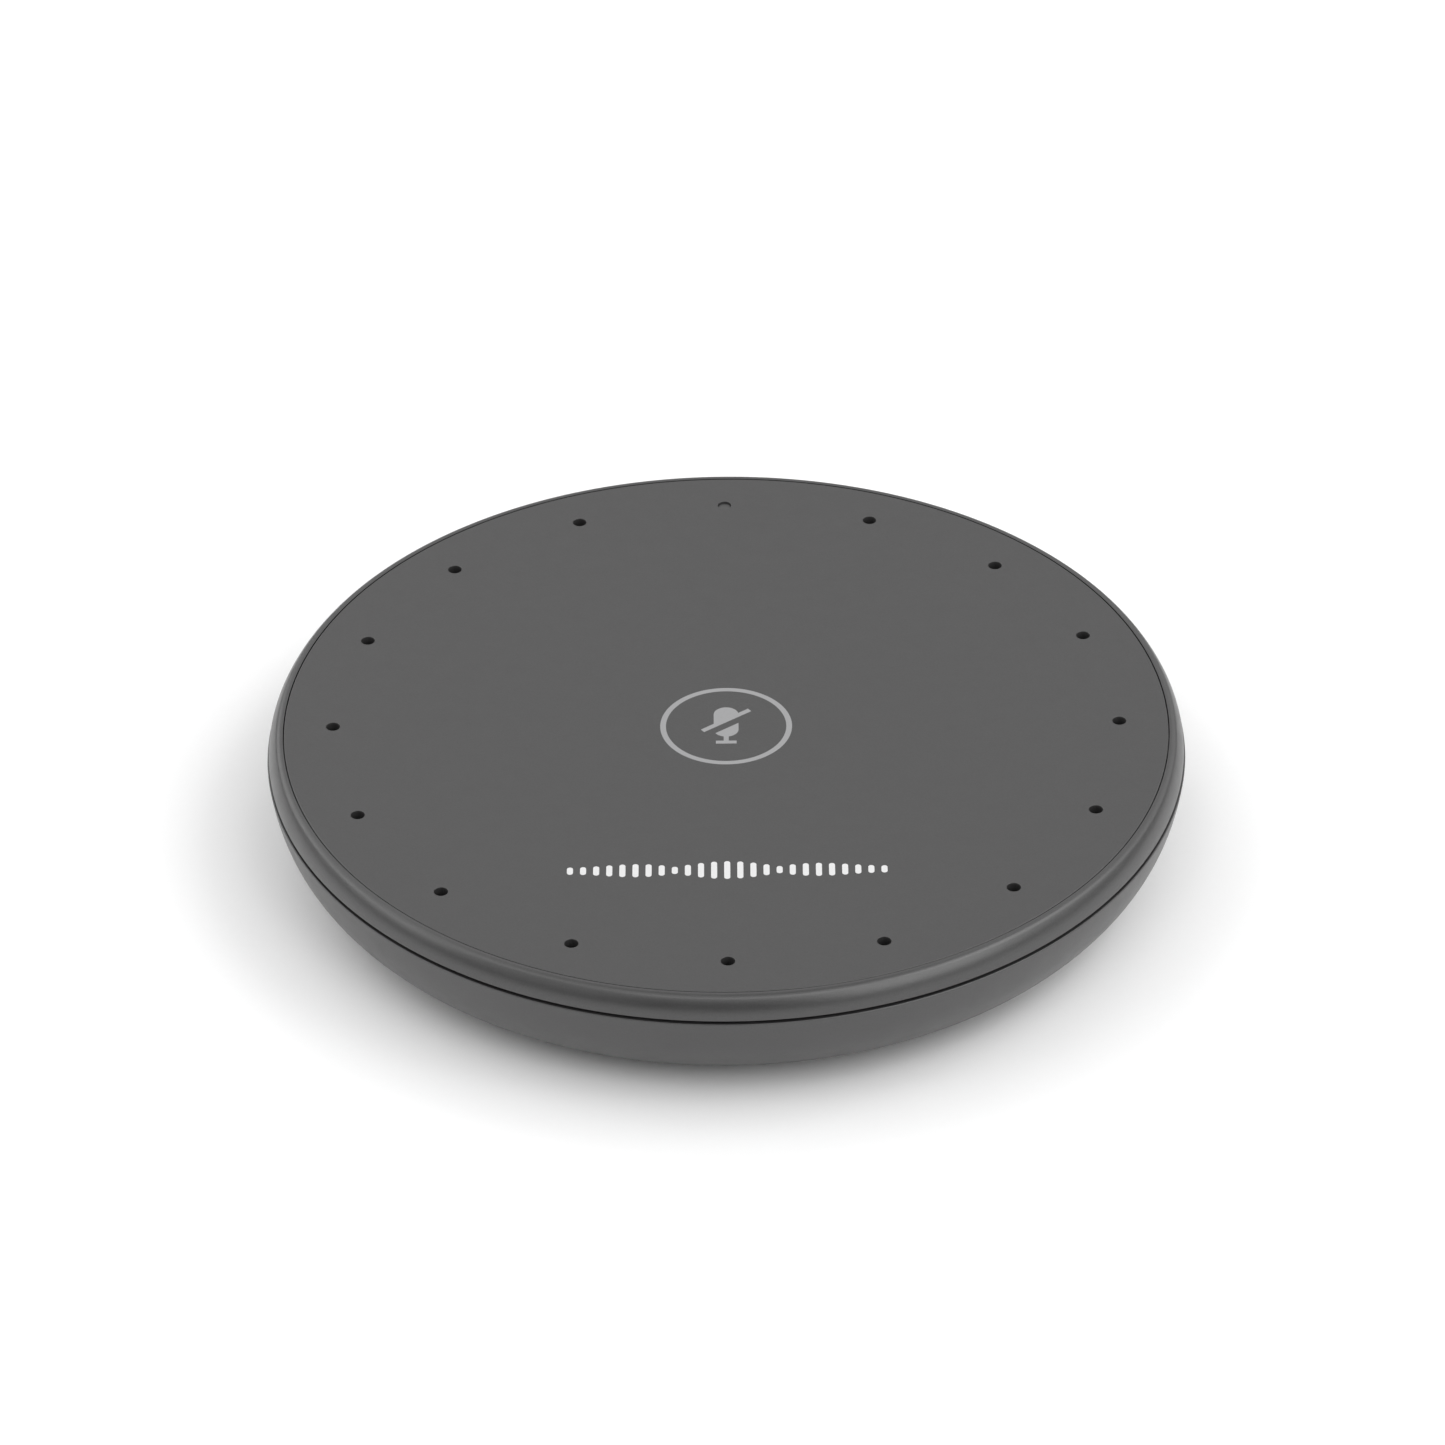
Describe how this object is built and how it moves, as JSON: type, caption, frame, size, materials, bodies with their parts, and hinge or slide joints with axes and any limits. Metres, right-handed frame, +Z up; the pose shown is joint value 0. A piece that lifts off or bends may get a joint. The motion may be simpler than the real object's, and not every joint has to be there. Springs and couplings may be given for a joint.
{
  "type": "table microphone array",
  "caption": "Flat round table microphone for a conference system, with a ring of sound ports, a touch mute pad, a rounded rim and a bowl-shaped base.",
  "frame": {"origin": "centre of the footprint, on the plane that the rubber feet stand on", "axes": "+Z up through the panel, +Y towards the rear (status light and sockets), +X to the right"},
  "size_m": [0.2, 0.2, 0.0295],
  "materials": {
    "panel_coat": "fine satin speckle, dark grey",
    "shell_coat": "fine satin speckle, dark grey",
    "light_window": "satin, light grey, translucent",
    "status_lens": "satin, smoked grey",
    "clear_guide": "frosted clear",
    "foot_rubber": "matt black",
    "gasket_foam": "matt black foam",
    "mesh_cloth": "woven black mesh",
    "tape": "adhesive tape, black",
    "black_steel": "black zinc",
    "bright_steel": "zinc plated",
    "ballast_steel": "galvanised sheet",
    "label_film": "blank satin film",
    "circuit_board": "green solder mask",
    "chip_black": "moulded chip package",
    "mic_can": "gold plated can",
    "led_lens": "clear yellow",
    "film_amber": "polyimide film",
    "connector_ivory": "moulded, ivory",
    "pad_blue": "soft thermal pad",
    "shield_tin": "tin plated",
    "coil_tape": "yellow coil tape",
    "capacitor_can": "sleeved aluminium can",
    "ferrite": "sintered ferrite",
    "socket_black": "moulded black",
    "contact_gold": "gold plated",
    "plunger_white": "moulded off-white"
  },
  "bodies": {
    "housing": {"top_panel": "panel_coat", "mute_ring_window": "light_window", "mute_icon_window": "light_window", "panel_tape": "tape", "upper_housing": "shell_coat", "lower_shell": "shell_coat", "rubber_feet": "foot_rubber", "case_screws": "black_steel", "ballast_plate": "ballast_steel", "ballast_screws": "bright_steel", "rating_label": "label_film", "microphone_board": "circuit_board", "mems_microphones": "mic_can", "microphone_gaskets": "gasket_foam", "acoustic_meshes": "mesh_cloth", "mic_board_screws": "bright_steel", "status_led": "led_lens", "status_light_pipe": "status_lens", "touch_film": "film_amber", "mute_light_guide": "clear_guide", "mute_leds": "led_lens", "touch_board": "circuit_board", "touch_controller": "chip_black", "touch_board_screws": "bright_steel", "touch_connector": "connector_ivory", "main_board": "circuit_board", "board_screws": "bright_steel", "processor": "chip_black", "memory_chips": "chip_black", "shield_frame": "shield_tin", "shield_lid": "shield_tin", "thermal_pad": "pad_blue", "audio_codec": "chip_black", "ethernet_phy": "chip_black", "power_transformer": "coil_tape", "bulk_capacitors": "capacitor_can", "power_inductor": "ferrite", "network_magnetics": "chip_black", "ethernet_jack_shield": "shield_tin", "ethernet_jack_body": "socket_black", "ethernet_jack_contacts": "contact_gold", "usb_socket_shell": "shield_tin", "usb_socket_tongue": "socket_black", "reset_switch_body": "socket_black", "mic_ribbon": "film_amber", "ribbon_connectors": "connector_ivory"},
    "reset_button": {"reset_plunger": "plunger_white"}
  },
  "joints": [
    {"name": "reset_press", "type": "slide", "parent": "housing", "child": "reset_button", "axis": [0, -1, 0], "range_m": [0, 0.00025], "stiffness_N_per_m": 200, "springref_m": -0.001}
  ]
}
